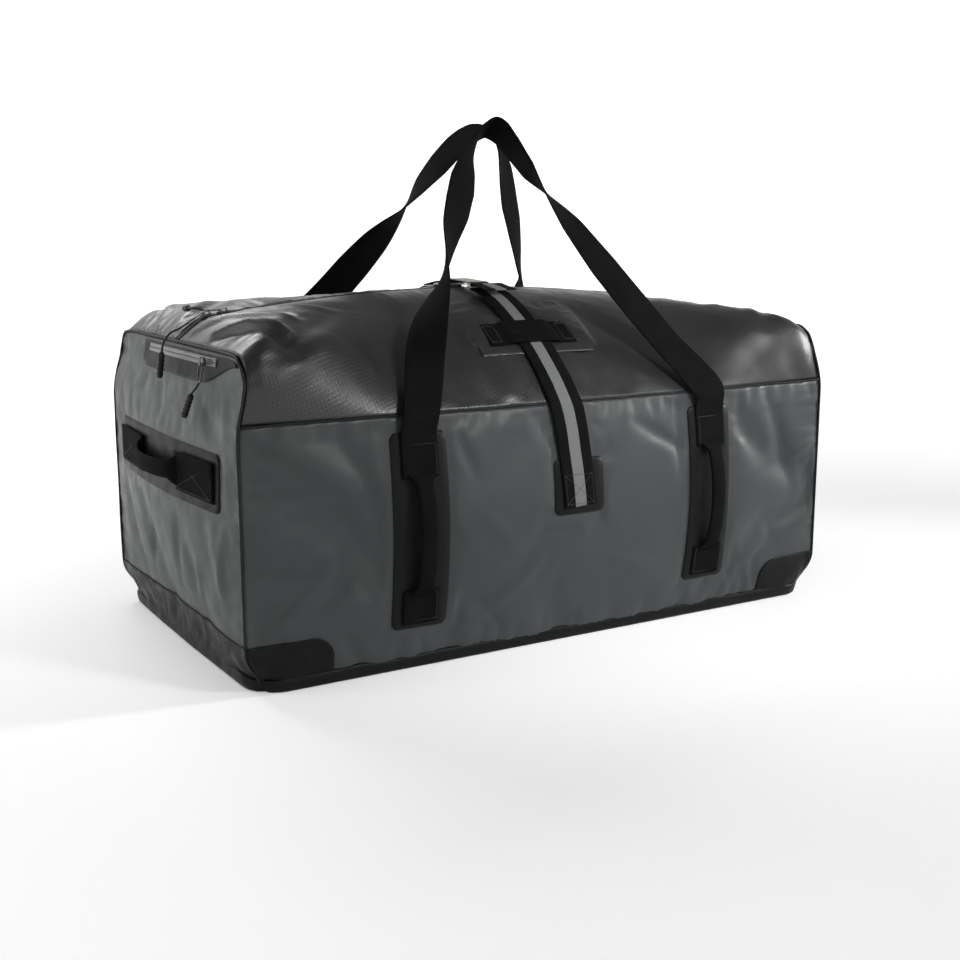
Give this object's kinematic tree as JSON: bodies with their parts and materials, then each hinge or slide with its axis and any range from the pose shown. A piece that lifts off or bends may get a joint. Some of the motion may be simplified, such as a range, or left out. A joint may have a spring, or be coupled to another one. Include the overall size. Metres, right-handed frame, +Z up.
{
  "type": "hockey equipment bag",
  "caption": "Boxy tarpaulin equipment duffle with a domed zip-up top, carry straps, a hook-buckled compression strap, grab handles and an end pocket.",
  "frame": {"origin": "on the floor, under the middle of the bag", "axes": "+X along the length towards the end without the pocket, -Y towards the front, +Z up"},
  "size_m": [1.022, 0.6, 0.7007],
  "materials": {
    "tarpaulin": "matte blue-grey coated tarpaulin, softly wrinkled",
    "ripstop": "charcoal coated ripstop with a fine grid, slightly shiny",
    "welded_patch": "dark satin patch of the same coated cloth",
    "base_cloth": "black coated cloth, slightly glossy",
    "webbing": "black ribbed polypropylene webbing with box stitching",
    "striped_webbing": "black webbing with a woven silver-grey stripe",
    "piping": "black fabric piping",
    "zip_tape": "black woven tape with a plastic coil",
    "bright_metal": "plated metal, worn bright on the edges",
    "pull_rubber": "matt black moulded rubber with ribs",
    "lining": "plain dark lining"
  },
  "bodies": {
    "bag_body": {"base": "base_cloth", "left_scuff_band": "base_cloth", "right_scuff_band": "base_cloth", "front_left_corner_guard": "base_cloth", "front_right_corner_guard": "base_cloth", "rear_left_corner_guard": "base_cloth", "rear_right_corner_guard": "base_cloth", "front_panel": "tarpaulin", "rear_panel": "tarpaulin", "left_end_panel": "tarpaulin", "right_end_panel": "tarpaulin", "left_end_piping": "piping", "right_end_piping": "piping", "front_left_strap_patch": "welded_patch", "front_right_strap_patch": "welded_patch", "rear_left_strap_patch": "welded_patch", "rear_right_strap_patch": "welded_patch", "left_handle_patch": "welded_patch", "right_handle_patch": "welded_patch", "pocket_patch": "welded_patch", "front_centre_patch": "welded_patch", "rear_centre_patch": "welded_patch", "front_left_grab_handle": "webbing", "front_right_grab_handle": "webbing", "rear_left_grab_handle": "webbing", "rear_right_grab_handle": "webbing", "left_end_handle": "webbing", "right_end_handle": "webbing", "front_strap_lower": "striped_webbing", "rear_strap_lower": "striped_webbing", "front_top_left_end": "ripstop", "front_top_right_end": "ripstop", "rear_top_left_end": "ripstop", "rear_top_right_end": "ripstop", "left_zip_end": "zip_tape", "right_zip_end": "zip_tape", "pocket_zip": "zip_tape", "pocket_pouch": "lining"},
    "front_flap": {"front_top_middle": "ripstop", "front_zip_half": "zip_tape", "front_strap_upper": "striped_webbing", "buckle_frame": "bright_metal", "keeper_patch": "welded_patch", "strap_keeper": "webbing"},
    "rear_flap": {"rear_top_middle": "ripstop", "rear_zip_half": "zip_tape", "rear_strap_upper": "striped_webbing", "buckle_ring": "bright_metal"},
    "front_strap": {"front_carry_strap": "webbing"},
    "rear_strap": {"rear_carry_strap": "webbing"},
    "hook": {"buckle_hook": "bright_metal"},
    "outer_slider": {"outer_slider": "bright_metal"},
    "outer_pull": {"outer_pull_loop": "bright_metal", "outer_pull_tab": "pull_rubber"},
    "inner_slider": {"inner_slider": "bright_metal"},
    "inner_pull": {"inner_pull_loop": "bright_metal", "inner_pull_tab": "pull_rubber"},
    "pocket_slider": {"pocket_slider": "bright_metal"},
    "pocket_pull": {"pocket_pull_loop": "bright_metal", "pocket_pull_tab": "pull_rubber"}
  },
  "joints": [
    {"name": "front_flap_hinge", "type": "hinge", "parent": "bag_body", "child": "front_flap", "pos_m": [0, -0.2605, 0.326], "axis": [1, 0, 0], "range_deg": [0, 100]},
    {"name": "rear_flap_hinge", "type": "hinge", "parent": "bag_body", "child": "rear_flap", "pos_m": [0, 0.2605, 0.326], "axis": [-1, 0, 0], "range_deg": [0, 100]},
    {"name": "front_strap_hinge", "type": "hinge", "parent": "bag_body", "child": "front_strap", "pos_m": [0, -0.2645, 0.3], "axis": [1, 0, 0], "range_deg": [0, 120]},
    {"name": "rear_strap_hinge", "type": "hinge", "parent": "bag_body", "child": "rear_strap", "pos_m": [0, 0.2645, 0.3], "axis": [-1, 0, 0], "range_deg": [0, 120]},
    {"name": "hook_hinge", "type": "hinge", "parent": "front_flap", "child": "hook", "pos_m": [-0.014, -0.046, 0.46842], "axis": [1, 0, 0], "range_deg": [0, 120]},
    {"name": "inner_slider_travel", "type": "hinge", "parent": "bag_body", "child": "inner_slider", "pos_m": [-0.03, 0, -1.986], "axis": [0, 1, 0], "range_deg": [0, 17.94], "deforming": ["inner_pull_tab"]},
    {"name": "outer_slider_travel", "type": "hinge", "parent": "bag_body", "child": "outer_slider", "pos_m": [-0.03, 0, -1.986], "axis": [0, 1, 0], "range_deg": [0, 0.117], "deforming": ["outer_pull_tab"]},
    {"name": "inner_pull_hinge", "type": "hinge", "parent": "inner_slider", "child": "inner_pull", "pos_m": [-0.38186, 0, 0.44324], "axis": [0, 1, 0], "range_deg": [0, 120]},
    {"name": "outer_pull_hinge", "type": "hinge", "parent": "outer_slider", "child": "outer_pull", "pos_m": [-0.40489, 0, 0.43979], "axis": [0, 1, 0], "range_deg": [0, 80]},
    {"name": "pocket_slider_travel", "type": "slide", "parent": "bag_body", "child": "pocket_slider", "axis": [0, 1, 0], "range_m": [0, 0.2]},
    {"name": "pocket_pull_hinge", "type": "hinge", "parent": "pocket_slider", "child": "pocket_pull", "pos_m": [-0.45787, -0.134, 0.3896], "axis": [0, 1, 0], "range_deg": [0, 110]}
  ],
  "couplings": [
    {"joint": "front_strap_hinge", "follows": "front_flap_hinge", "ratio": 1.2},
    {"joint": "rear_strap_hinge", "follows": "rear_flap_hinge", "ratio": 1.2}
  ]
}
